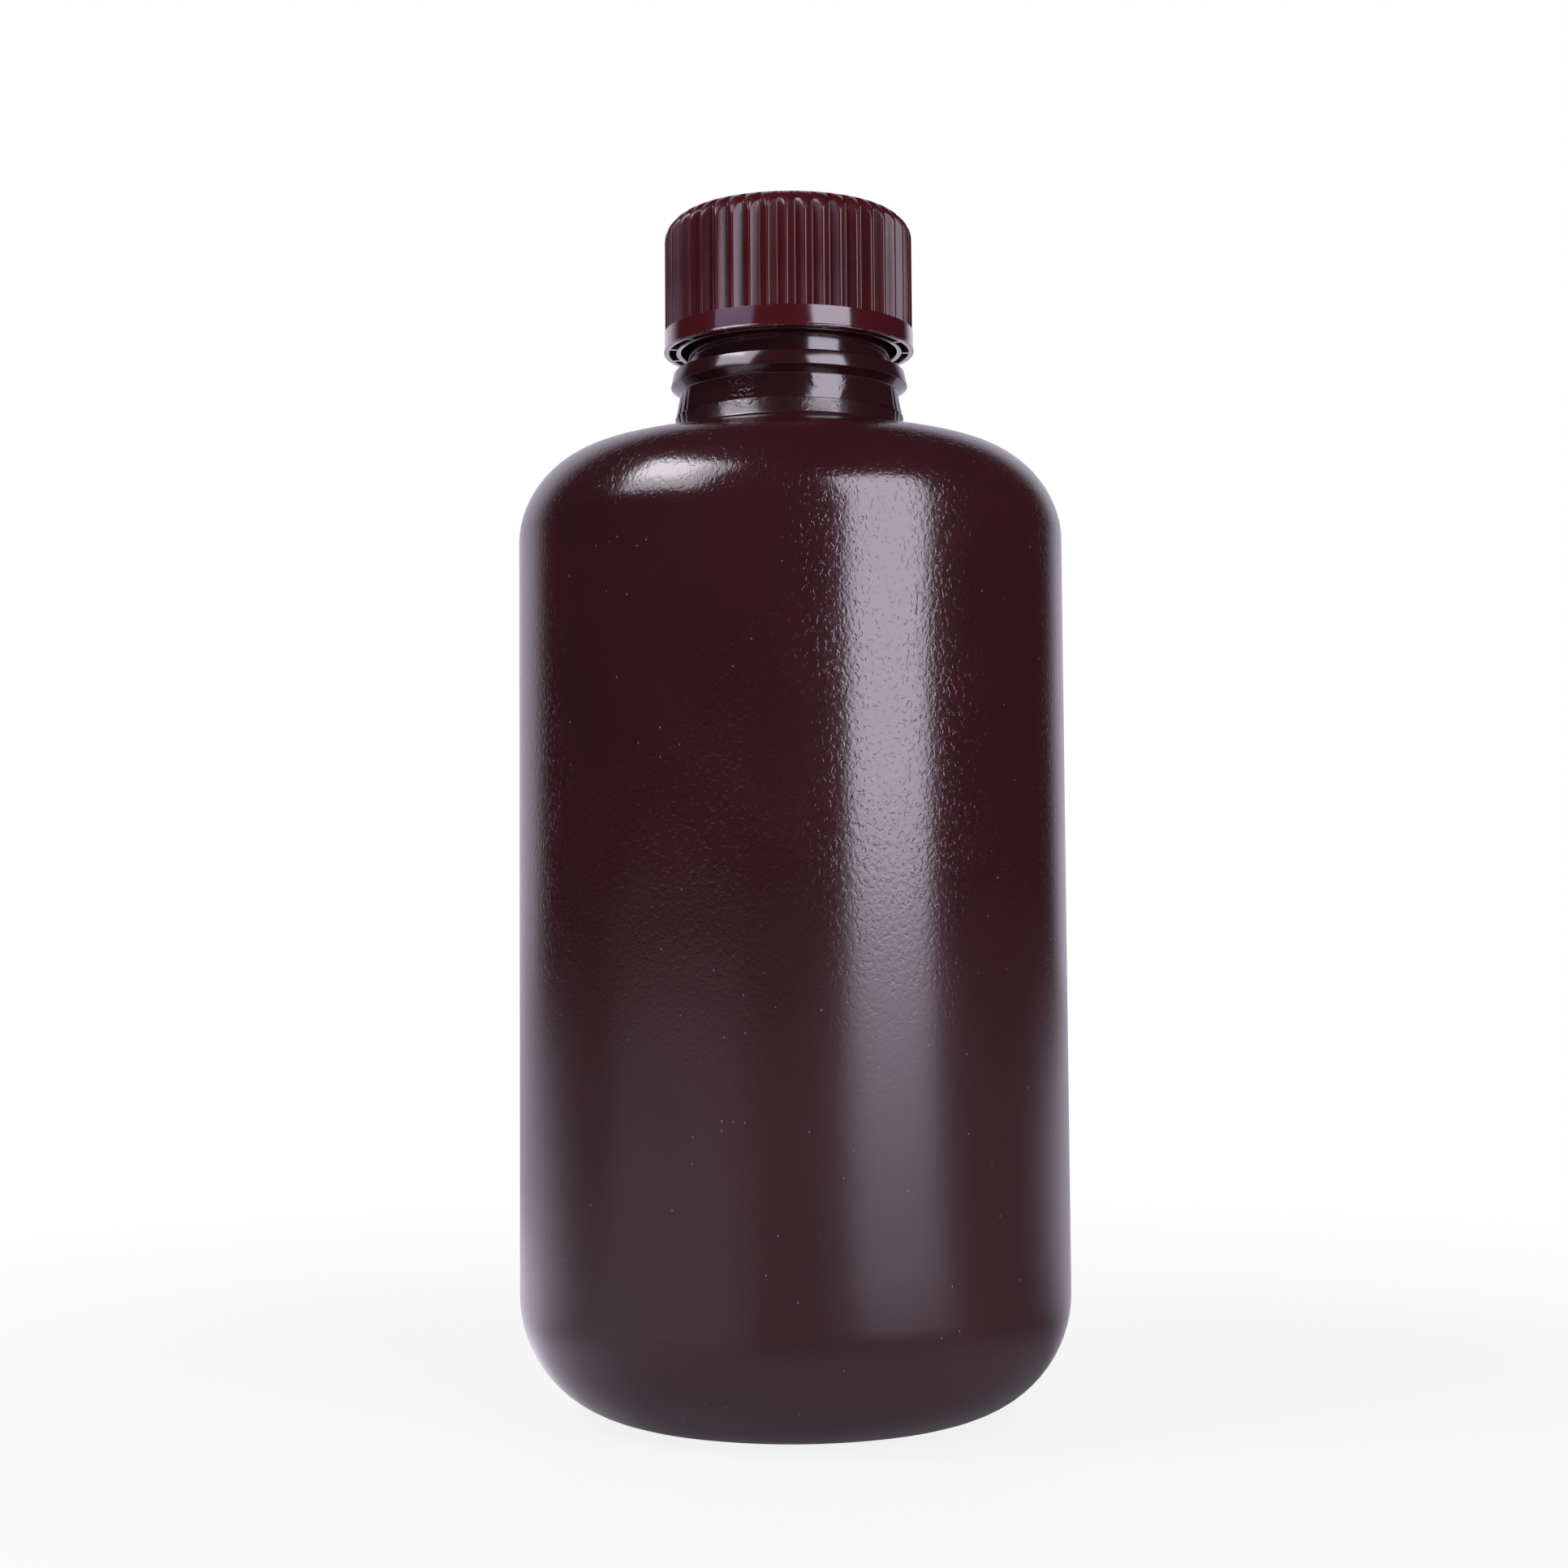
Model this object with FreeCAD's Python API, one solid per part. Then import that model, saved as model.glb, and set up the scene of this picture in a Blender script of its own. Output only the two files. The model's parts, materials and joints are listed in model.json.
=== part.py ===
import FreeCAD, Part
import math
import os

# Narrow mouth reagent bottle, nominal 1 litre: a blow-moulded bottle and its ribbed screw cap.
# Millimetres, +Z up, origin at the centre of the standing plane, on the bottle's axis.

# Bottle body
body_radius = 47.0
body_wall = 1.5
heel_radius = 20.5
shoulder_edge_height = 161.8
shoulder_radius = 16.1
shoulder_slope = 13.0

# Base, pushed up inside a flat standing ring
standing_ring_inner_radius = 23.0
push_up_height = 2.2
push_up_crown = 0.8
push_up_corner = 1.6

# Neck between the shoulder and its ring
neck_radius = 19.0
neck_foot_height = 3.1
neck_foot_step = 0.2
neck_foot_flare = 0.9
neck_foot_fillet = 0.9
neck_height = 7.3

# Neck ring: a tapered collar, undercut towards the neck
ring_radius = 20.65
ring_height = 2.6
ring_taper = 0.55
ring_undercut = 1.15
ring_edge = 0.35

# Finish under the cap, and the bore through it
finish_root_radius = 17.6
finish_height = 25.6
thread_depth = 1.1
bore_radius = 14.4
bore_blend = 5.0
rim_edge = 0.6
rim_chamfer = 0.3

# Cap shell
cap_wall = 0.85
cap_grip_wall = 0.65
cap_top = 1.85
cap_corner = 4.7
cap_ring_gap = 3.55
thread_clearance = 0.15
cap_inner_chamfer = 0.5

# Smooth band below the grip
band_height = 3.55
band_step = 0.1
lip_height = 0.45
lip_step = 0.14

# Pocket between the outer band and the threaded skirt, crossed by radial webs
pocket_width = 1.25
pocket_top_width = 0.7
pocket_depth = 3.2
web_count = 15
web_thickness = 0.8

# Grip: V grooves between narrow lands
rib_count = 43
groove_depth = 1.3
groove_root = 0.12
land_width = 0.42
land_azimuth = 270.0

# Ring inside the cap that plugs the bore
plug_clearance = 0.25
plug_wall = 1.1
plug_height = 4.4
plug_lead = 0.6

# Sizes that follow from the values above
slope_rise = math.tan(math.radians(shoulder_slope))
foot_top_radius = neck_radius + neck_foot_step
foot_radius = foot_top_radius + neck_foot_flare
foot_z = shoulder_edge_height + (body_radius - foot_radius) * slope_rise
foot_top_z = foot_z + neck_foot_height
ring_root_z = foot_z + neck_height
ring_edge_z = ring_root_z + ring_undercut
ring_top_z = ring_edge_z + ring_height
rim_z = ring_top_z + finish_height

skirt_bore = finish_root_radius + thread_depth + thread_clearance
skirt_outer = skirt_bore + cap_wall
band_inner = skirt_outer + pocket_width
grip_radius = skirt_outer + cap_grip_wall + groove_depth
band_radius = grip_radius + band_step
cap_bottom_z = ring_top_z + cap_ring_gap
cap_top_z = rim_z + cap_top
band_top_z = cap_bottom_z + band_height


def rounded_profile(corners):
    """Closed profile in the XZ plane through (radius, height, fillet) corners."""
    points = [FreeCAD.Vector(r, 0, z) for r, z, fillet in corners]
    entries = []
    exits = []
    edges = []
    for i, (r, z, fillet) in enumerate(corners):
        corner = points[i]
        before = (points[i - 1] - corner).normalize()
        after = (points[(i + 1) % len(points)] - corner).normalize()
        if fillet == 0:
            entries.append(corner)
            exits.append(corner)
            continue
        half_angle = before.getAngle(after) / 2
        setback = fillet / math.tan(half_angle)
        start = corner + before * setback
        end = corner + after * setback
        bisector = (before + after).normalize()
        middle = corner + bisector * (fillet / math.sin(half_angle) - fillet)
        edges.append(Part.Arc(start, middle, end).toShape())
        entries.append(start)
        exits.append(end)
    for i in range(len(points)):
        start = exits[i - 1]
        if start.distanceToPoint(entries[i]) > 1e-6:
            edges.append(Part.makeLine(start, entries[i]))
    return Part.Face(Part.Wire(Part.__sortEdges__(edges)))


def turned(corners):
    """Solid of revolution about the bottle's axis."""
    face = rounded_profile(corners)
    return face.revolve(FreeCAD.Vector(0, 0, 0), FreeCAD.Vector(0, 0, 1), 360)


def around(shape, azimuth):
    """Copy of a shape, turned about the axis."""
    copy = shape.copy()
    copy.rotate(FreeCAD.Vector(0, 0, 0), FreeCAD.Vector(0, 0, 1), azimuth)
    return copy


def make_bottle():
    """Body, shoulder, neck, ring and finish in one wall, open at the rim."""
    push_up_edge = standing_ring_inner_radius - push_up_height
    crown_z = push_up_height + push_up_crown
    inner_radius = body_radius - body_wall
    slope_wall = body_wall / math.cos(math.radians(shoulder_slope))
    inner_edge_z = shoulder_edge_height + body_wall * slope_rise - slope_wall
    inner_foot_z = inner_edge_z + (inner_radius - bore_radius) * slope_rise
    outside = [
        (0, crown_z, 0),
        (push_up_edge, push_up_height, push_up_corner),
        (standing_ring_inner_radius, 0, push_up_corner / 2),
        (body_radius, 0, heel_radius),
        (body_radius, shoulder_edge_height, shoulder_radius),
        (foot_radius, foot_z, neck_foot_fillet),
        (foot_top_radius, foot_top_z, 0),
        (neck_radius, foot_top_z, 0),
        (neck_radius, ring_root_z, ring_edge),
        (ring_radius, ring_edge_z, 0),
        (ring_radius - ring_taper, ring_top_z, ring_edge),
        (finish_root_radius, ring_top_z, ring_edge),
        (finish_root_radius, rim_z, rim_edge),
    ]
    inside = [
        (bore_radius + rim_chamfer, rim_z, 0),
        (bore_radius, rim_z - rim_chamfer, 0),
        (bore_radius, inner_foot_z, bore_blend),
        (inner_radius, inner_edge_z, shoulder_radius - body_wall),
        (inner_radius, body_wall, heel_radius - body_wall),
        (standing_ring_inner_radius, body_wall, 0),
        (push_up_edge, push_up_height + body_wall, 0),
        (0, crown_z + body_wall, 0),
    ]
    return turned(outside + inside)


def make_groove():
    """One V groove of the grip, cut straight up through the cap's corner."""
    half_pitch = math.pi / rib_count
    half_land = math.asin(land_width / 2 / grip_radius)
    edge_angle = half_pitch - half_land
    flank = FreeCAD.Vector(grip_radius * math.cos(edge_angle), grip_radius * math.sin(edge_angle), 0)
    valley = FreeCAD.Vector(grip_radius - groove_depth, groove_root, 0)
    reach = 1 + 2 * groove_depth / (flank.x - valley.x)
    outer = valley + (flank - valley) * reach
    section = [
        FreeCAD.Vector(outer.x, -outer.y, band_top_z),
        FreeCAD.Vector(valley.x, -valley.y, band_top_z),
        FreeCAD.Vector(valley.x, valley.y, band_top_z),
        FreeCAD.Vector(outer.x, outer.y, band_top_z),
    ]
    face = Part.Face(Part.makePolygon(section + section[:1]))
    return face.extrude(FreeCAD.Vector(0, 0, cap_top_z - band_top_z + cap_top))


def make_pocket():
    """Annular pocket in the cap's lower edge, interrupted by the radial webs."""
    trough = turned([
        (skirt_outer, cap_bottom_z - pocket_depth, 0),
        (band_inner, cap_bottom_z - pocket_depth, 0),
        (band_inner, cap_bottom_z, 0),
        (skirt_outer + pocket_top_width, cap_bottom_z + pocket_depth, 0),
        (skirt_outer, cap_bottom_z + pocket_depth, 0),
    ])
    web = Part.makeBox(
        band_radius, web_thickness, 3 * pocket_depth,
        FreeCAD.Vector(0, -web_thickness / 2, cap_bottom_z - 1.5 * pocket_depth),
    )
    webs = [around(web, 360 / web_count * i) for i in range(web_count)]
    return trough.cut(webs)


def make_cap():
    """Cap with a ribbed grip, a smooth band, a threaded skirt's wall and a plug ring."""
    plug_outer = bore_radius - plug_clearance
    plug_inner = plug_outer - plug_wall
    blank = turned([
        (0, cap_top_z, 0),
        (grip_radius, cap_top_z, cap_corner),
        (grip_radius, band_top_z, 0),
        (band_radius, band_top_z, 0),
        (band_radius, cap_bottom_z + lip_height, 0),
        (band_radius + lip_step, cap_bottom_z, 0),
        (skirt_bore, cap_bottom_z, 0),
        (skirt_bore, rim_z - cap_inner_chamfer, 0),
        (skirt_bore - cap_inner_chamfer, rim_z, 0),
        (plug_outer, rim_z, 0),
        (plug_outer, rim_z - plug_height + plug_lead, 0),
        (plug_outer - plug_lead / 2, rim_z - plug_height, 0),
        (plug_inner, rim_z - plug_height, 0),
        (plug_inner, rim_z - cap_inner_chamfer, 0),
        (plug_inner - cap_inner_chamfer, rim_z, 0),
        (0, rim_z, 0),
    ])
    groove = make_groove()
    first = land_azimuth + 180 / rib_count
    grooves = [around(groove, first + 360 / rib_count * i) for i in range(rib_count)]
    return blank.cut(grooves).cut(make_pocket())


os.makedirs("parts", exist_ok=True)
make_bottle().exportStep("parts/bottle.step")
make_cap().exportStep("parts/cap.step")
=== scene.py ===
import json
import math
import random

import bmesh
import bpy
from mathutils import Matrix, Vector

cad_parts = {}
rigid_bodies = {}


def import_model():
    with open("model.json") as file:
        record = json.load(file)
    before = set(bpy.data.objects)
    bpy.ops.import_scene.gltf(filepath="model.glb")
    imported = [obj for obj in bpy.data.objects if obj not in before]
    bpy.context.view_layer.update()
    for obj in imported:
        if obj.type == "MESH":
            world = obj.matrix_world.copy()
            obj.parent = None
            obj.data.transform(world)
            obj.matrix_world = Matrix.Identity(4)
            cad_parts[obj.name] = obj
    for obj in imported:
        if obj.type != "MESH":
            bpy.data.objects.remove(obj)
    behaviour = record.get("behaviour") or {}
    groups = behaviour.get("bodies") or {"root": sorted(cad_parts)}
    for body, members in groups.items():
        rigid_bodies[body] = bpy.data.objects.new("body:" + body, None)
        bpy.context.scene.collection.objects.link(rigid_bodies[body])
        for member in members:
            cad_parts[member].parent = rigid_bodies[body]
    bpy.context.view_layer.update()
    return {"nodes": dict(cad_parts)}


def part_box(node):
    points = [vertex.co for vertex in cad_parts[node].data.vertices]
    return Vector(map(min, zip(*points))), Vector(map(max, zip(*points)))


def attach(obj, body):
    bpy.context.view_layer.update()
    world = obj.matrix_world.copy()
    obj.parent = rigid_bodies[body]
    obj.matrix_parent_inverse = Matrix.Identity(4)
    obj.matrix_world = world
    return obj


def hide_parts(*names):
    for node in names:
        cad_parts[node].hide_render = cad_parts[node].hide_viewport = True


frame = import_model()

mm = 0.001
fullTurn = 2 * math.pi
axisUp = Vector((0, 0, 1))
origin = Vector((0, 0, 0))
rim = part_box("bottle")[1][2] / mm
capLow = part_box("cap")[0][2] / mm
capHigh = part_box("cap")[1][2] / mm
parting = rim - 33.55  # height of the line that the mould's neck ring left, in millimetres
sharpAngle = math.radians(38)
print("frame loaded:", sorted(frame["nodes"]))


def smooth(value, low, high):
    t = min(max((value - low) / (high - low), 0), 1)
    return t * t * (3 - 2 * t)


def mix(a, b, t):
    return a + (b - a) * t


def profileWire(bm, corners, finest):
    # an open chain in the XZ plane through (radius, height, rounding) corners in millimetres, whose
    # larger arcs have a segment for about every so many degrees
    points = [Vector((r, 0, z)) for r, z, rounding in corners]
    verts = [bm.verts.new(p * mm) for p in points]
    for a, b in zip(verts, verts[1:]):
        bm.edges.new((a, b))
    for i in range(1, len(corners) - 1):
        rounding = corners[i][2]
        if rounding:
            half = (points[i - 1] - points[i]).angle(points[i + 1] - points[i]) / 2
            turn = math.pi - 2 * half
            steps = max(2, round(math.degrees(turn) / finest))
            if rounding < 1:
                steps = min(steps, 4)
            bmesh.ops.bevel(
                bm, geom=[verts[i]], offset=rounding * mm / math.tan(half), segments=steps,
                profile=0.5, affect="VERTICES", material=-1,
            )


def divideWall(bm, radius, low, high, cuts):
    # rows on a straight wall whose ends lie within the slack of the two heights
    slack = 0.6
    for edge in bm.edges[:]:
        heights = sorted(v.co.z / mm for v in edge.verts)
        near = all(abs(v.co.xy.length / mm - radius) < 0.02 for v in edge.verts)
        if near and heights[0] < low + slack and heights[1] > high - slack:
            bmesh.ops.subdivide_edges(bm, edges=[edge], cuts=cuts)


def spinAround(bm, angle, steps, **options):
    bmesh.ops.spin(
        bm, geom=bm.verts[:] + bm.edges[:] + bm.faces[:], cent=origin, axis=axisUp,
        angle=angle, steps=steps, **options,
    )


def weld(bm):
    bmesh.ops.remove_doubles(bm, verts=bm.verts[:], dist=0.002 * mm)


def threadHeight(azimuth, height, thread):
    # height of the ridge over its wall, from 0 to 1, on a right-hand helix
    best = 0
    share = (azimuth / fullTurn) % 1
    for turn in range(3):
        along = share + turn
        if not 0 <= along <= thread["turns"]:
            continue
        away = abs(height - thread["start"] - thread["pitch"] * along)
        ridge = 1 - smooth(away, thread["crest"] / 2, thread["foot"] / 2)
        lead = min(1, along / thread["runOut"], (thread["turns"] - along) / thread["runOut"])
        best = max(best, ridge * smooth(lead, 0, 1))
    return best


def settlePiece(name, bm, finish, body, node):
    weld(bm)
    bmesh.ops.recalc_face_normals(bm, faces=bm.faces[:])
    for face in bm.faces:
        face.smooth = True
    for edge in bm.edges:
        edge.smooth = len(edge.link_faces) == 2 and edge.calc_face_angle(0) < sharpAngle
    mesh = bpy.data.meshes.new(name)
    bm.to_mesh(mesh)
    bm.free()
    mesh.materials.append(finish)
    piece = bpy.data.objects.new(name, mesh)
    bpy.context.collection.objects.link(piece)
    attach(piece, body)
    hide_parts(node)
    print(name, "has", sum(len(p.vertices) - 2 for p in mesh.polygons), "triangles")


class Wire:
    # a node's output; arithmetic on it adds Math nodes
    def __init__(self, tree, socket=None):
        self.tree = tree
        self.socket = socket

    def node(self, kind, settings=None, inputs=None, output=0):
        made = self.tree.nodes.new(kind)
        for name, value in (settings or {}).items():
            setattr(made, name, value)
        for key, value in (inputs or {}).items():
            if isinstance(value, Wire):
                self.tree.links.new(value.socket, made.inputs[key])
            else:
                made.inputs[key].default_value = value
        return Wire(self.tree, made.outputs[output] if len(made.outputs) else None)

    def other(self, output):
        # another output of the same node
        return Wire(self.tree, self.socket.node.outputs[output])

    def place(self):
        # the object's own coordinates, whole and as x, y and z
        spread = self.node("ShaderNodeTexCoord", None, None, 3)
        x = self.node("ShaderNodeSeparateXYZ", None, {0: spread})
        return spread, x, x.other(1), x.other(2)

    def math(self, operation, a, b=0.0):
        return self.node("ShaderNodeMath", {"operation": operation}, {0: a, 1: b})

    def __add__(self, other):
        return self.math("ADD", self, other)

    def __radd__(self, other):
        return self.math("ADD", other, self)

    def __sub__(self, other):
        return self.math("SUBTRACT", self, other)

    def __rsub__(self, other):
        return self.math("SUBTRACT", other, self)

    def __mul__(self, other):
        return self.math("MULTIPLY", self, other)

    def __rmul__(self, other):
        return self.math("MULTIPLY", other, self)

    def __gt__(self, other):
        return self.math("GREATER_THAN", self, other)

    def __lt__(self, other):
        return self.math("LESS_THAN", self, other)

    def __abs__(self):
        return self.math("ABSOLUTE", self)

    def ramp(self, low, high):
        # a soft step from 0 at low to 1 at high
        limits = {"Value": self, "From Min": low, "From Max": high}
        return self.node("ShaderNodeMapRange", {"interpolation_type": "SMOOTHSTEP"}, limits)

    def between(self, rise, fall):
        # 1 between a soft step up and a soft step down
        return self.ramp(*rise) * (1.0 - self.ramp(*fall))

    def noise(self, spread, scale, detail, roughness):
        values = {"Vector": spread, "Scale": scale, "Detail": detail, "Roughness": roughness}
        return self.node("ShaderNodeTexNoise", None, values)

    def blend(self, factor, a, b):
        return self.node("ShaderNodeMix", {"data_type": "RGBA"}, {0: factor, 6: a, 7: b}, 2)

    def stretched(self, spread, x, y, z):
        return self.node("ShaderNodeMapping", None, {"Vector": spread, "Scale": (x, y, z)})

    def bump(self, height):
        return self.node("ShaderNodeBump", None, {"Height": height, "Distance": 1.0, "Strength": 1.0})


def newMaterial(name):
    material = bpy.data.materials.new(name)
    material.use_nodes = True
    material.node_tree.nodes.clear()
    return material, Wire(material.node_tree)


bottlePlastic = {  # lengths in metres, a pattern's size as its texture scale; neckStart is measured
    # down from the parting line and ringStart up from it
    "dark": (0.0400, 0.0083, 0.0103, 1),
    "deep": (0.0345, 0.0070, 0.0088, 1),
    # darker tone on the neck: painted shade under the cap and ring
    "neck": (0.0290, 0.0062, 0.0078, 1),
    "cloudSize": 48.0,
    "speck": (0.30, 0.25, 0.28, 1),
    "speckSpread": 600.0,
    "speckRadius": 0.048,
    "speckRarity": 0.62,
    # near black painted shade under the flash ledges at the sides of the parting line
    "paintedLedgeShade": (0.006, 0.002, 0.003, 1),
    "paintedLedgeShadeShare": 0.9,
    "paintedShadeReach": (0.0095, 0.0125),
    "paintedShadeHalfHeight": (0.00025, 0.00045),
    "ior": 1.54,
    "specular": 1.0,
    "bodyRoughness": 0.160,
    "baseRoughness": 0.25,
    "neckRoughness": 0.13,
    "footRoughness": 0.20,
    "hazeSize": 120.0,
    "hazeShare": 0.05,
    "upperBody": (0.046, 0.100),
    "peelSize": 1400.0,
    "peelDepth": 0.000038,
    "peelLeast": 0.12,
    "peelPatchSize": 34.0,
    "peelPatchShare": 0.45,
    "pitSize": 1500.0,
    "pitDepth": 0.00002,
    "waveSize": 55.0,
    "waveDepth": 0.00006,
    "seamHalfWidth": (0.00006, 0.00028),
    "seamHeight": 0.00002,
    "rippleSize": 1100.0,
    "rippleDepth": 0.00005,
    "rippleLeast": 0.06,
    "ripplePatchSize": 150.0,
    "rippleSpot": (-0.0074, -0.0176, (rim - 30.9) * mm),
    "rippleSpotRadius": (0.0015, 0.0055),
    "rippleSpotGain": 4.0,
    "partingHeight": parting * mm,
    "partingBlur": 0.00003,
    "neckStart": (0.0032, 0.0028),
    "ringStart": (0.0040, 0.0045),
}


def makeBottlePlastic(look):
    material, w = newMaterial("bottlePolyethylene")
    spread, x, y, z = w.place()
    line = look["partingHeight"]
    onNeck = z.ramp(line - look["neckStart"][0], line - look["neckStart"][1])
    aboveParting = z.ramp(line - look["partingBlur"], line + look["partingBlur"])
    belowRing = 1.0 - z.ramp(line + look["ringStart"][0], line + look["ringStart"][1])
    upper = z.ramp(*look["upperBody"])

    # orange peel and small pits of the blown wall, fading out towards the heel
    tall = w.stretched(spread, 1.0, 1.0, 0.75)
    peel = w.noise(tall, look["peelSize"], 2.5, 0.55)
    pits = w.noise(tall, look["pitSize"], 2.0, 0.5).ramp(0.30, 0.46)
    patches = w.noise(spread, look["peelPatchSize"], 2.0, 0.5).ramp(0.36, 0.62)
    patchy = (1.0 - look["peelPatchShare"]) + look["peelPatchShare"] * patches
    peelAmount = (look["peelLeast"] + (1.0 - look["peelLeast"]) * upper) * patchy * (1.0 - onNeck)
    waves = w.noise(w.stretched(spread, 1.0, 1.0, 0.3), look["waveSize"], 1.0, 0.4)
    # the neck ripples below its ring, most where it faces front and left
    ripples = w.noise(spread, look["rippleSize"], 2.0, 0.6)
    ripplePatches = w.noise(spread, look["ripplePatchSize"], 1.0, 0.5).ramp(0.45, 0.6)
    away = w.node("ShaderNodeVectorMath", {"operation": "DISTANCE"}, {0: spread, 1: look["rippleSpot"]}, 1)
    inSpot = 1.0 - away.ramp(*look["rippleSpotRadius"])
    rippleAmount = onNeck * belowRing * (
        look["rippleLeast"] + ripplePatches + look["rippleSpotGain"] * inSpot
    )
    seam = 1.0 - abs(y).ramp(*look["seamHalfWidth"])
    height = (
        (peel * look["peelDepth"] + pits * look["pitDepth"]) * peelAmount
        + ripples * rippleAmount * look["rippleDepth"]
        + waves * look["waveDepth"]
        + seam * look["seamHeight"]
    )

    # colour: deep maroon, a little uneven, with painted shade: darker on the neck under the cap and ring,
    # and near black under the ledges at the sides of the parting line; and with pale specks
    cloud = w.noise(spread, look["cloudSize"], 3.0, 0.55)
    tone = w.blend(cloud.ramp(0.35, 0.65), look["dark"], look["deep"])
    # the neck takes a darker tone as painted shade of the cap and ring above it
    tone = w.blend(onNeck, tone, look["neck"])
    # painted shade: near black under the flash ledges on both sides of the parting line
    sideways = 1.0 - abs(y).ramp(*look["paintedShadeReach"])
    paintedLedgeShade = sideways * (1.0 - abs(z - line).ramp(*look["paintedShadeHalfHeight"]))
    tone = w.blend(paintedLedgeShade * look["paintedLedgeShadeShare"], tone, look["paintedLedgeShade"])
    streaked = w.stretched(spread, 1.0, 1.0, 0.55)
    cells = w.node("ShaderNodeTexVoronoi", None, {"Vector": streaked, "Scale": look["speckSpread"]})
    cellShade = w.node("ShaderNodeSeparateColor", None, {0: cells.other(1)})
    dots = (cells < look["speckRadius"]) * (cellShade > look["speckRarity"])
    tone = w.blend(dots * (1.0 - onNeck), tone, look["speck"])

    haze = w.noise(w.stretched(spread, 1.0, 1.0, 0.25), look["hazeSize"], 3.0, 0.6)
    roughness = (
        look["baseRoughness"]
        + (look["bodyRoughness"] - look["baseRoughness"]) * upper
        + (haze - 0.5) * look["hazeShare"]
    )
    neckRoughness = look["footRoughness"] + (look["neckRoughness"] - look["footRoughness"]) * aboveParting
    roughness = roughness * (1.0 - onNeck) + neckRoughness * onNeck
    shader = w.node("ShaderNodeBsdfPrincipled", None, {
        "Base Color": tone, "Roughness": roughness, "Normal": w.bump(height),
        "IOR": look["ior"], "Specular IOR Level": look["specular"],
    })
    w.node("ShaderNodeOutputMaterial", None, {"Surface": shader})
    return material


capPlastic = {  # lengths in metres, a pattern's size as its texture scale
    "red": (0.067, 0.0058, 0.0085, 1),
    "brown": (0.056, 0.0058, 0.0083, 1),
    "cloudSize": 120.0,
    "ior": 1.54,
    "specular": 0.5,
    "coatRoughness": 0.10,
    "gripRoughness": 0.29,
    "bandRoughness": 0.13,
    "edgeRoughness": 0.18,
    "wearSize": 260.0,
    "wearShare": 0.12,
    "scuffSize": 700.0,
    "scuffShare": 0.08,
    "grainSize": 1900.0,
    "grainDepth": 0.000007,
    "grainOnBand": 0.12,
    "ringSize": 2600.0,
    "ringDepth": 0.0000022,
    "bandTop": (capLow + 3.5) * mm,
    "bandBlur": 0.0001,
    "brinkLow": (capLow + 0.06) * mm,
    "brinkBlur": 0.00010,
    "brinkRadius": 0.02179,
    # pale painted highlight along the burr on the band's lower edge
    "burrAndHighlight": (0.30, 0.24, 0.28, 1),
    "highlightShare": 0.5,
    "highlightDashSize": 900.0,
    "landRadius": 0.02152,
    "valleyRadius": 0.02046,
    "rubbedBlur": 0.00012,
}


def makeCapPlastic(look):
    material, w = newMaterial("capPolypropylene")
    spread, x, y, z = w.place()
    onGrip = z.ramp(look["bandTop"], look["bandTop"] + look["bandBlur"])
    flat = w.stretched(spread, 1.0, 1.0, 0.0)
    outward = w.node("ShaderNodeVectorMath", {"operation": "LENGTH"}, {0: flat}, 1)
    # lands and valleys are smoother than the flanks between them
    rubbed = outward.ramp(look["landRadius"] - look["rubbedBlur"], look["landRadius"])
    rubbed = rubbed + (1.0 - outward.ramp(look["valleyRadius"], look["valleyRadius"] + look["rubbedBlur"]))
    grain = w.noise(w.stretched(spread, 1.0, 1.0, 0.5), look["grainSize"], 3.0, 0.6)
    scuffs = w.noise(w.stretched(spread, 1.0, 1.0, 0.18), look["scuffSize"], 2.0, 0.5)
    rings = w.noise(w.stretched(spread, 0.02, 0.02, 1.0), look["ringSize"], 2.0, 0.5)
    height = (
        grain * look["grainDepth"] * (look["grainOnBand"] + (1.0 - look["grainOnBand"]) * onGrip)
        + rings * (1.0 - onGrip) * look["ringDepth"]
    )

    # colour: dark red, a little uneven, with a painted highlight in pale dashes along the burr on the band's
    # lower edge
    cloud = w.noise(spread, look["cloudSize"], 3.0, 0.55)
    tone = w.blend(cloud.ramp(0.35, 0.65), look["red"], look["brown"])
    dashes = w.noise(spread, look["highlightDashSize"], 2.0, 0.6).ramp(0.46, 0.58)
    low = 1.0 - z.ramp(look["brinkLow"], look["brinkLow"] + look["brinkBlur"])
    brink = (outward > look["brinkRadius"]) * low
    # pale dashes painted on as a highlight of the band's lower edge, over its burr
    tone = w.blend(brink * dashes * look["highlightShare"], tone, look["burrAndHighlight"])

    wear = w.noise(spread, look["wearSize"], 4.0, 0.65)
    gripRoughness = look["gripRoughness"] + (look["edgeRoughness"] - look["gripRoughness"]) * rubbed
    roughness = look["bandRoughness"] + (gripRoughness - look["bandRoughness"]) * onGrip
    roughness = roughness + (wear - 0.5) * look["wearShare"] + (scuffs - 0.5) * look["scuffShare"] * onGrip
    shader = w.node("ShaderNodeBsdfPrincipled", None, {
        "Base Color": tone, "Roughness": roughness, "Normal": w.bump(height), "Coat Weight": 1.0 - onGrip,
        "IOR": look["ior"], "Specular IOR Level": look["specular"], "Coat Roughness": look["coatRoughness"],
    })
    w.node("ShaderNodeOutputMaterial", None, {"Surface": shader})
    return material


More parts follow.
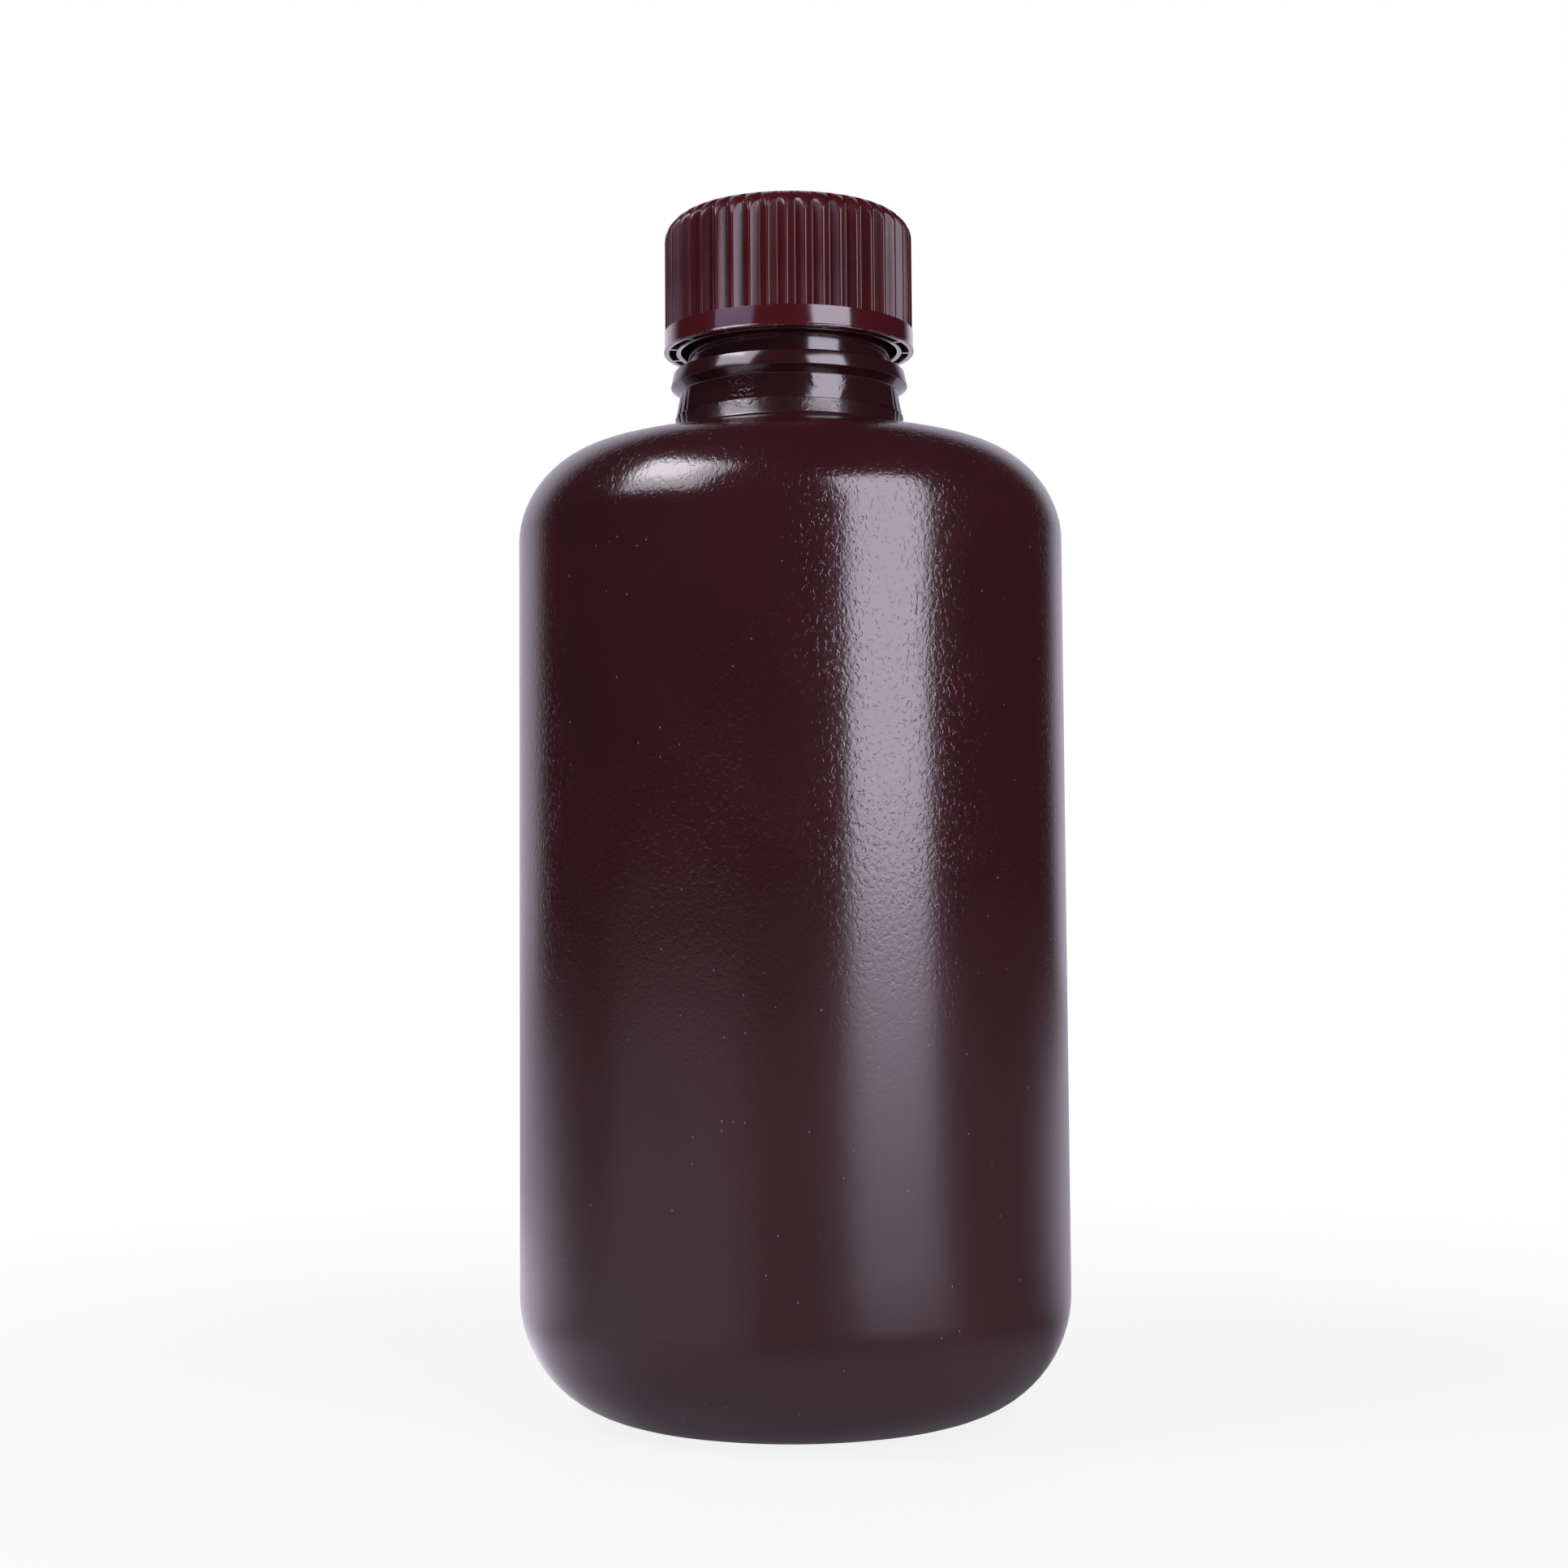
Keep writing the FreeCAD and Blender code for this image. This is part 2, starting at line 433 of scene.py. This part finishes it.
bottleShape = {  # lengths in millimetres
    "corners": [  # radius, height, rounding: under the base, up outside, down inside
        (0, 3.0, 0), (20.8, 2.2, 1.6), (23.0, 0, 0.8), (47.0, 0, 20.5), (47.0, 161.8, 16.1),
        (19.68, rim - 36.55, 0.9), (19.2, rim - 33.59, 0.05), (19.0, rim - 33.51, 0.05),
        (19.0, rim - 29.35, 0.35), (20.65, rim - 28.2, 0.12), (20.1, rim - 25.6, 0.35),
        (17.6, rim - 25.6, 0.35), (17.6, rim, 0.6), (14.4, rim, 0.3), (14.4, 167.78, 5.0),
        (45.5, 160.607, 14.6), (45.5, 1.5, 19.0), (23.0, 1.5, 0.8), (20.8, 3.7, 1.6), (0, 4.5, 0),
    ],
    "rows": [  # radius, lower and upper height of a straight wall, cuts across it
        (47.0, 20.5, 148.9, 15), (45.5, 20.5, 148.9, 5), (17.6, rim - 25.2, rim - 0.6, 122),
    ],
    "steps": 288,
    "finish": 17.6,
    "finishLow": 190,
    "thread": {"start": 193.0, "pitch": 4.2, "turns": 1.8, "crest": 0.9, "foot": 2.5, "runOut": 0.07},
    "threadDepth": 1.1,
    "flashRadius": (18.9, 19.3),
    "flashReach": 0.75,
    "flashLeast": 0.55,
    "flashTilt": 0.75,
    "flashHalfWidth": 37.0,
    "flashFade": 14,
    "pinch": (38.0, 0.8, 0.9),
    "pinchRounding": 0.28,
    "pinchHeight": 2.75,
}


def makeBottle(shape, finish):
    bm = bmesh.new()
    profileWire(bm, shape["corners"], 5.0)
    for radius, low, high, cuts in shape["rows"]:
        divideWall(bm, radius, low, high, cuts)
    spinAround(bm, fullTurn, shape["steps"], use_merge=True)
    weld(bm)
    chance = random.Random(11)
    rough = [chance.uniform(shape["flashLeast"], 1) for i in range(shape["steps"])]
    for v in bm.verts:
        radius = v.co.xy.length / mm
        height = v.co.z / mm
        azimuth = math.atan2(v.co.y, v.co.x)
        if abs(radius - shape["finish"]) < 0.01 and shape["finishLow"] < height < rim - 1:
            grown = radius + shape["threadDepth"] * threadHeight(azimuth, height, shape["thread"])
            v.co.xy = v.co.xy * (grown / radius)
        if abs(height - parting) < 0.1 and shape["flashRadius"][0] < radius < shape["flashRadius"][1]:
            # flash squeezed out where the mould halves meet, at both sides of the neck
            off = abs(math.degrees(math.asin(min(1, abs(v.co.y) / v.co.xy.length))))
            column = round(azimuth / fullTurn * shape["steps"]) % shape["steps"]
            fade = smooth(off, shape["flashHalfWidth"] - shape["flashFade"], shape["flashHalfWidth"])
            reach = shape["flashReach"] * (1 - fade) * rough[column]
            v.co.xy = v.co.xy * ((radius + reach) / radius)
            v.co.z = v.co.z + shape["flashTilt"] * reach * (height - parting) * mm

    # ridge pinched off by the mould, under the base
    length, width, deep = shape["pinch"]
    ridge = bmesh.ops.create_cube(bm, size=1.0)["verts"]
    bmesh.ops.scale(bm, vec=Vector((length, width, deep)) * mm, verts=ridge)
    edges = {e for v in ridge for e in v.link_edges}
    bmesh.ops.bevel(
        bm, geom=list(edges), offset=shape["pinchRounding"] * mm, segments=3, profile=0.5,
        affect="EDGES", material=-1,
    )
    ridge = [v for v in bm.verts if v.co.z < 0.5 * deep * mm + 1e-7 and v.co.z > -0.5 * deep * mm - 1e-7
             and abs(v.co.x) < 0.505 * length * mm and abs(v.co.y) < 0.505 * width * mm]
    bmesh.ops.translate(bm, vec=Vector((0, 0, shape["pinchHeight"])) * mm, verts=ridge)
    settlePiece("bottleBody", bm, finish, "bottle", "bottle")


capShape = {  # lengths in millimetres, angles in degrees
    "ribs": 43,
    "grip": 21.65,
    "valley": 20.35,
    "valleyHalf": 0.12,
    "valleyRounding": 0.3,
    "landHalf": 0.21,
    "landRounding": 0.34,
    "corner": 4.7,
    "top": capHigh,
    "topRows": (0, 9, 14),
    "archLow": 29.0,
    "archHigh": 77.0,
    "archPower": 0.6,
    "lean": 14.5,
    "runOut": 0.08,
    "bandTop": capLow + 3.55,
    "band": 21.75,
    "bandEase": 0.05,
    "bottom": capLow,
    "lipHeight": 0.45,
    "lipStep": 0.14,
    "lipInner": 21.35,
    "burrAndHighlight": 0.05,
    "inside": [  # radius, height, rounding: from the band's inner edge through the pocket to the plug
        (21.25, capLow, 0), (20.95, capLow, 0.07), (20.4, capLow + 3.2, 0.07), (19.7, capLow + 3.2, 0.07),
        (19.7, capLow, 0.07), (18.85, capLow, 0.25), (18.85, rim, 0.5), (14.15, rim, 0.1),
        (14.15, rim - 3.8, 0.2), (13.85, rim - 4.4, 0.15), (13.05, rim - 4.4, 0.15), (13.05, rim, 0.5),
        (7, rim, 0), (0, rim, 0),
    ],
    "pocket": (19.6, 21.0),
    "pocketMiddle": 20.3,
    "webs": 15,
    "webHalf": 0.4,
    "webEdge": (1.02, 1.16),
    "skirt": 18.85,
    "skirtRows": 105,
    "thread": {"start": 190.9, "pitch": 4.2, "turns": 1.8, "crest": 0.8, "foot": 2.3, "runOut": 0.07},
    "threadDepth": 1.05,
}


def grooveColumns(shape):
    # plan outline over one pitch, from land centre to land centre, as (radius, azimuth) pairs
    pitch = fullTurn / shape["ribs"]
    grip = shape["grip"]
    landEdge = pitch / 2 - math.asin(shape["landHalf"] / grip)
    side = [
        (grip * math.cos(-pitch / 2), grip * math.sin(-pitch / 2), 0),
        (grip * math.cos(-landEdge), grip * math.sin(-landEdge), shape["landRounding"]),
        (shape["valley"], -shape["valleyHalf"], shape["valleyRounding"]),
    ]
    corners = side + [(x, -y, rounding) for x, y, rounding in reversed(side)]
    bm = bmesh.new()
    verts = [bm.verts.new((x, 0, y)) for x, y, rounding in corners]
    for a, b in zip(verts, verts[1:]):
        bm.edges.new((a, b))
    points = [v.co.copy() for v in verts]
    for i, (x, y, rounding) in enumerate(corners):
        if rounding:
            half = (points[i - 1] - points[i]).angle(points[i + 1] - points[i]) / 2
            sides = [(points[i + 1] - points[i]).length, (points[i - 1] - points[i]).length]
            # a land's corner may take most of its short side, a valley's less than half
            room = 0.8 if i in (1, len(points) - 2) else 0.45
            offset = min(rounding / math.tan(half), room * min(sides))
            bmesh.ops.bevel(
                bm, geom=[verts[i]], offset=offset, segments=3, profile=0.5,
                affect="VERTICES", material=-1,
            )
    flanks = [e for e in bm.edges if e.calc_length() > 0.5]
    bmesh.ops.subdivide_edges(bm, edges=flanks, cuts=1)
    outline = sorted(bm.verts, key=lambda v: math.atan2(v.co.z, v.co.x))
    columns = [(math.hypot(v.co.x, v.co.z), math.atan2(v.co.z, v.co.x)) for v in outline]
    bm.free()
    return columns


def gripPoint(shape, rho, radius, height):
    # where a point of the plain turned cap goes in a column whose groove has the radius rho
    grip = shape["grip"]
    corner = shape["corner"]
    bandTop = shape["bandTop"]
    centreR = grip - corner
    centreZ = shape["top"] - corner
    sunk = max(0, grip - rho) / (grip - shape["valley"])
    start = math.radians(mix(shape["archLow"], shape["archHigh"], min(1, sunk) ** shape["archPower"]))
    if height > centreZ and radius < centreR - 1e-4:
        # the flat top
        return radius, height
    if height > centreZ - 1e-4 and radius > centreR - 1e-4:
        # the rounded corner, from the groove's arch up
        angle = math.atan2(height - centreZ, radius - centreR)
        angle = start + (math.pi / 2 - start) * angle / (math.pi / 2)
        return centreR + corner * math.cos(angle), centreZ + corner * math.sin(angle)
    if height > bandTop + 0.06:
        # the groove leans inwards as it runs out in the rounded corner
        creaseZ = corner * math.sin(math.acos(min(1, (rho - centreR) / corner)))
        rise = corner * math.tan(math.radians(shape["lean"])) * (1 - sunk) ** 2
        first = Vector((centreR + corner * math.cos(start), centreZ + corner * math.sin(start)))
        crease = Vector((rho, centreZ + creaseZ + rise))
        last = Vector((rho, centreZ + creaseZ * 0.7 - 0.04))
        down = (centreZ - height) / (centreZ - bandTop)
        if down < shape["runOut"] + 0.0001:
            t = down / shape["runOut"]
            point = first * (1 - t) ** 2 + crease * 2 * t * (1 - t) + last * t ** 2
            return point.x, point.y
        return rho, mix(last.y, bandTop, (down - shape["runOut"]) / (1 - shape["runOut"]))
    if radius < shape["band"] - 0.0005 and height > bandTop - 0.001:
        # the step from the groove out to the band
        out = radius - grip
        ease = shape["bandEase"]
        if out < ease:
            return rho + out, height
        return mix(rho + ease, shape["band"], (out - ease) / (shape["band"] - grip - ease)), height
    return radius, height


def makeCap(shape, finish):
    # the outside: one pitch of the grip is turned and shaped, and then repeated
    columns = grooveColumns(shape)
    centreZ = shape["top"] - shape["corner"]
    wall = centreZ - shape["bandTop"]
    bottom = shape["bottom"]
    grip = shape["grip"]
    outside = [(radius, shape["top"], 0) for radius in shape["topRows"]]
    outside += [(grip, shape["top"], shape["corner"])]
    outside += [(grip, centreZ - wall * 0.01 * k, 0) for k in range(1, 9)]
    outside += [
        (grip, centreZ - wall * 0.5, 0), (grip, shape["bandTop"], 0.045),
        (shape["band"], shape["bandTop"], 0.045), (shape["band"], bottom + shape["lipHeight"], 0.3),
        (shape["band"] + shape["lipStep"], bottom, 0.09), (shape["lipInner"], bottom, 0),
    ]
    bm = bmesh.new()
    profileWire(bm, outside, 7.0)
    pitch = fullTurn / shape["ribs"]
    steps = len(columns) - 1
    spinAround(bm, pitch, steps)
    for v in bm.verts:
        radius = v.co.xy.length / mm
        if radius < 0.001:
            continue
        column = round(math.atan2(v.co.y, v.co.x) / pitch * steps)
        rho, azimuth = columns[min(max(column, 0), steps)]
        newRadius, newHeight = gripPoint(shape, rho, radius, v.co.z / mm)
        v.co = Vector((newRadius * math.cos(azimuth), newRadius * math.sin(azimuth), newHeight)) * mm
    weld(bm)
    # the valleys lie half a pitch from the land that faces front
    bmesh.ops.rotate(bm, verts=bm.verts[:], cent=origin,
                     matrix=Matrix.Rotation(-math.pi / 2 + pitch / 2, 3, "Z"))
    spinAround(bm, pitch * (shape["ribs"] - 1), shape["ribs"] - 1, use_duplicate=True)
    weld(bm)
    chance = random.Random(5)
    for v in bm.verts:
        # burr on the band's lower edge
        if v.co.xy.length / mm > shape["band"] + 0.09 and v.co.z / mm < bottom + 0.2:
            v.co.z += chance.uniform(0, shape["burrAndHighlight"]) * mm

    # the inside: one sector with a web across its pocket, repeated
    lower = bmesh.new()
    profileWire(lower, shape["inside"], 9.0)
    divideWall(lower, shape["skirt"], bottom + 0.3, rim - 0.6, shape["skirtRows"])
    webAngle = math.degrees(shape["webHalf"] / shape["pocketMiddle"])
    sector = 360 / shape["webs"]
    near, far = shape["webEdge"]
    half = [0, webAngle * 0.5, webAngle, webAngle * near, webAngle * far]
    half += [mix(webAngle * far, sector / 2, k / 8) for k in range(1, 9)]
    masks = [0, 0, 0, 0.02, 1] + [1] * 8
    places = [-a for a in reversed(half)] + half[1:]
    maskList = list(reversed(masks)) + masks[1:]
    count = len(places) - 1
    spinAround(lower, math.radians(sector), count)
    for v in lower.verts:
        radius = v.co.xy.length
        if radius < 1e-7:
            continue
        column = min(max(round(math.degrees(math.atan2(v.co.y, v.co.x)) / sector * count), 0), count)
        azimuth = math.radians(places[column])
        height = v.co.z
        if shape["pocket"][0] < radius / mm < shape["pocket"][1]:
            height = mix(bottom * mm, height, maskList[column])
        v.co = Vector((radius * math.cos(azimuth), radius * math.sin(azimuth), height))
    weld(lower)
    spinAround(
        lower, math.radians(sector * (shape["webs"] - 1)), shape["webs"] - 1, use_duplicate=True,
    )
    weld(lower)
    for v in lower.verts:
        radius = v.co.xy.length / mm
        height = v.co.z / mm
        if abs(radius - shape["skirt"]) < 0.01 and bottom + 0.5 < height < rim - 1.1:
            azimuth = math.atan2(v.co.y, v.co.x)
            grown = radius - shape["threadDepth"] * threadHeight(azimuth, height, shape["thread"])
            v.co.xy = v.co.xy * (grown / radius)

    # both in one mesh, closed along the band's lower edge
    joined = bpy.data.meshes.new("capLower")
    lower.to_mesh(joined)
    lower.free()
    bm.from_mesh(joined)
    bpy.data.meshes.remove(joined)
    openEdges = [e for e in bm.edges if len(e.link_faces) == 1 and abs(e.verts[0].co.z - bottom * mm) < 1e-6]
    bmesh.ops.triangle_fill(bm, edges=openEdges, use_beauty=True, normal=(0, 0, -1))
    settlePiece("capBody", bm, finish, "cap", "cap")


makeBottle(bottleShape, makeBottlePlastic(bottlePlastic))
makeCap(capShape, makeCapPlastic(capPlastic))


stageLook = {  # lengths in metres, angles in radians from the front towards the right
    "floorHalf": 2.5,
    "floorColour": (0.8, 0.8, 0.8, 1),
    "floorShare": 0.86,
    "floorFade": (0.10, 0.36),
    "floorDim": 0.78,
    "floorAcross": (0.0, 0.7),
    "floorBehind": (-0.05, 0.60),
    "floorFar": (0.3, 2.0),
    "floorFarDrop": 0.4,
    "backColour": (0.90, 0.84, 1.0, 1),
    "backGlow": 0.82,
    "backAcross": (0.0, 0.8),
    "backBehind": (0.5, 0.78),
    "rightDelay": 0.19,
    "fill": 0.2,
    "ambient": 0.02,
    "rightSector": ((0.33, 0.46), (0.96, 1.10)),
    "rightAway": (0.08, 0.2),
    "rightRise": (0.09, 0.22),
    "rightGlow": 4.5,
    "leftSector": ((-1.45, -1.15), (-0.50, -0.10)),
    "leftAway": (0.05, 0.12),
    "leftFar": (0.5, 2.0),
    "leftFarDrop": 0.6,
    "leftGlow": 0.34,
    "nearTurn": (-1.85, -1.10),
    "nearAway": (0.12, 0.42),
    "nearGlow": 0.62,
    "underTurn": (-1.6, -0.6),
    "underAway": (0.055, 0.10),
    "underGain": 2.3,
    "underGlow": 0.2,
}


def makeFloor(look):
    bm = bmesh.new()
    bmesh.ops.create_grid(bm, x_segments=8, y_segments=8, size=look["floorHalf"])
    mesh = bpy.data.meshes.new("floor")
    bm.to_mesh(mesh)
    bm.free()
    floor = bpy.data.objects.new("floor", mesh)
    bpy.context.collection.objects.link(floor)
    material, w = newMaterial("paleFloor")
    matt = w.node("ShaderNodeBsdfDiffuse", None, {"Color": look["floorColour"]})
    glow = w.node("ShaderNodeEmission", None, {"Color": (1, 1, 1, 1), "Strength": 1.0})
    seen = w.node("ShaderNodeLightPath")
    mirrored = seen.other("Is Glossy Ray")
    # the floor turns plain white away from the object, and keeps its shadow near it
    spread, x, y, z = w.place()
    away = w.node("ShaderNodeVectorMath", {"operation": "LENGTH"}, {0: spread}, 1)
    share = seen * (look["floorShare"] + (1.0 - look["floorShare"]) * away.ramp(*look["floorFade"]))
    # reflections show it bright behind the object and dim in front
    across = w.math("DIVIDE", x, away).ramp(*look["floorAcross"])
    behind = w.math("DIVIDE", y, away) - look["rightDelay"] * across
    behind = (behind - look["floorFarDrop"] * away.ramp(*look["floorFar"])).ramp(*look["floorBehind"])
    # and painted pools of the soft boxes' light on the floor, seen only in reflections: a bright sector at
    # the front right, a faint one at the left, the floor close to the heel at its left side, and a little
    # painted light under the object
    turned = w.math("ARCTAN2", x, 0.0 - y)
    rightSector = turned.between(*look["rightSector"]) * away.ramp(*look["rightAway"])
    leftSector = turned.between(*look["leftSector"]) * away.ramp(*look["leftAway"])
    leftSide = (1.0 - turned.ramp(*look["nearTurn"])) * (1.0 - away.ramp(*look["nearAway"]))
    under = 1.0 - away.ramp(*look["underAway"])
    underLeft = 1.0 - turned.ramp(*look["underTurn"])
    strength = (
        behind * look["backGlow"]
        + rightSector * (look["rightRise"][0] + look["rightRise"][1] * away) * look["rightGlow"]
        + leftSector * (1.0 - look["leftFarDrop"] * away.ramp(*look["leftFar"])) * look["leftGlow"]
        + leftSide * look["nearGlow"]
        + under * (1.0 + look["underGain"] * underLeft) * look["underGlow"]
    )
    backdrop = w.node("ShaderNodeEmission", None, {"Color": look["backColour"], "Strength": strength})
    reflected = mirrored * (look["floorDim"] + (1.0 - look["floorDim"]) * behind)
    surface = w.node("ShaderNodeMixShader", None, {0: reflected, 1: matt, 2: backdrop})
    surface = w.node("ShaderNodeMixShader", None, {0: share, 1: surface, 2: glow})
    w.node("ShaderNodeOutputMaterial", None, {"Surface": surface})
    mesh.materials.append(material)


def makeWorld(look):
    # plain white to the camera, and for reflections a bright wall behind the object
    world = bpy.data.worlds.new("studio")
    bpy.context.scene.world = world
    world.use_nodes = True
    world.node_tree.nodes.clear()
    w = Wire(world.node_tree)
    seen = w.node("ShaderNodeLightPath")
    matt = seen.other("Is Diffuse Ray")
    x = w.node("ShaderNodeSeparateXYZ", None, {0: w.node("ShaderNodeTexCoord")})
    across = x.ramp(*look["backAcross"])
    behind = (x.other(1) - look["rightDelay"] * across).ramp(*look["backBehind"])
    strength = seen + (1.0 - seen) * (look["ambient"] + behind * look["backGlow"]) + matt * look["fill"]
    tint = w.blend(seen, look["backColour"], (1, 1, 1, 1))
    background = w.node("ShaderNodeBackground", None, {"Color": tint, "Strength": strength})
    w.node("ShaderNodeOutputWorld", None, {"Surface": background})


cameraLook = {  # angles in degrees
    "at": (-0.00138, -0.4338, 0.0828),
    "pitch": 3.226,
    "roll": -0.398,
    "turn": 1.0,
    "lens": 57.51,
    "sensor": 36,
    "nearest": 0.01,
}
lightDistance = 1.6
lightAim = Vector((0, -0.03, 0.1))
lights = {  # directions as seen from the bottle, in degrees right of the camera and up; sizes in degrees
    "rightSoftbox": {"right": 40.3, "up": 20.8, "wide": 34.6, "tall": 42.4, "radiance": 4.5,
                     "colour": (0.90, 0.85, 1.0)},
    "leftSoftbox": {"right": -61.0, "up": 44.5, "wide": 34.0, "tall": 29.0, "radiance": 3.5,
                    "colour": (0.95, 0.90, 1.0)},
    "leftHotSpot": {"right": -69.0, "up": 49.5, "wide": 24.0, "tall": 17.0, "radiance": 4.0,
                    "colour": (0.98, 0.93, 1.0)},
    "leftSkirt": {"right": -53.5, "up": 24.8, "wide": 36.0, "tall": 9.6, "radiance": 1.4,
                  "colour": (0.58, 0.60, 1.0), "only": "capBody"},
}


def makeLight(name, look, turn):
    width = 2 * lightDistance * math.tan(math.radians(look["wide"] / 2))
    height = 2 * lightDistance * math.tan(math.radians(look["tall"] / 2))
    lamp = bpy.data.lights.new(name, "AREA")
    lamp.shape = "RECTANGLE"
    lamp.size = width
    lamp.size_y = height
    lamp.energy = look["radiance"] * math.pi * width * height
    lamp.color = look["colour"]
    box = bpy.data.objects.new(name, lamp)
    bpy.context.collection.objects.link(box)
    if "only" in look:
        lit = bpy.data.collections.new(name + "Reach")
        lit.objects.link(bpy.data.objects[look["only"]])
        box.light_linking.receiver_collection = lit
    right = math.radians(look["right"] + turn)
    up = math.radians(look["up"])
    way = Vector((math.cos(up) * math.sin(right), -math.cos(up) * math.cos(right), math.sin(up)))
    facing = (-way).to_track_quat("-Z", "Y").to_matrix().to_4x4()
    box.matrix_world = Matrix.Translation(lightAim + way * lightDistance) @ facing
    box.visible_camera = False


def makeCamera(look):
    eye = bpy.data.cameras.new("camera")
    eye.lens = look["lens"]
    eye.sensor_width = look["sensor"]
    eye.clip_start = look["nearest"]
    camera = bpy.data.objects.new("camera", eye)
    bpy.context.collection.objects.link(camera)
    camera.matrix_world = (
        Matrix.Rotation(math.radians(look["turn"]), 4, "Z")
        @ Matrix.Translation(Vector(look["at"]))
        @ Matrix.Rotation(math.radians(90 + look["pitch"]), 4, "X")
        @ Matrix.Rotation(math.radians(look["roll"]), 4, "Z")
    )
    bpy.context.scene.camera = camera


makeFloor(stageLook)
makeWorld(stageLook)
for name, look in lights.items():
    makeLight(name, look, cameraLook["turn"])
makeCamera(cameraLook)
bpy.context.scene.view_settings.view_transform = "Standard"
print("stage, lights and camera are in place")
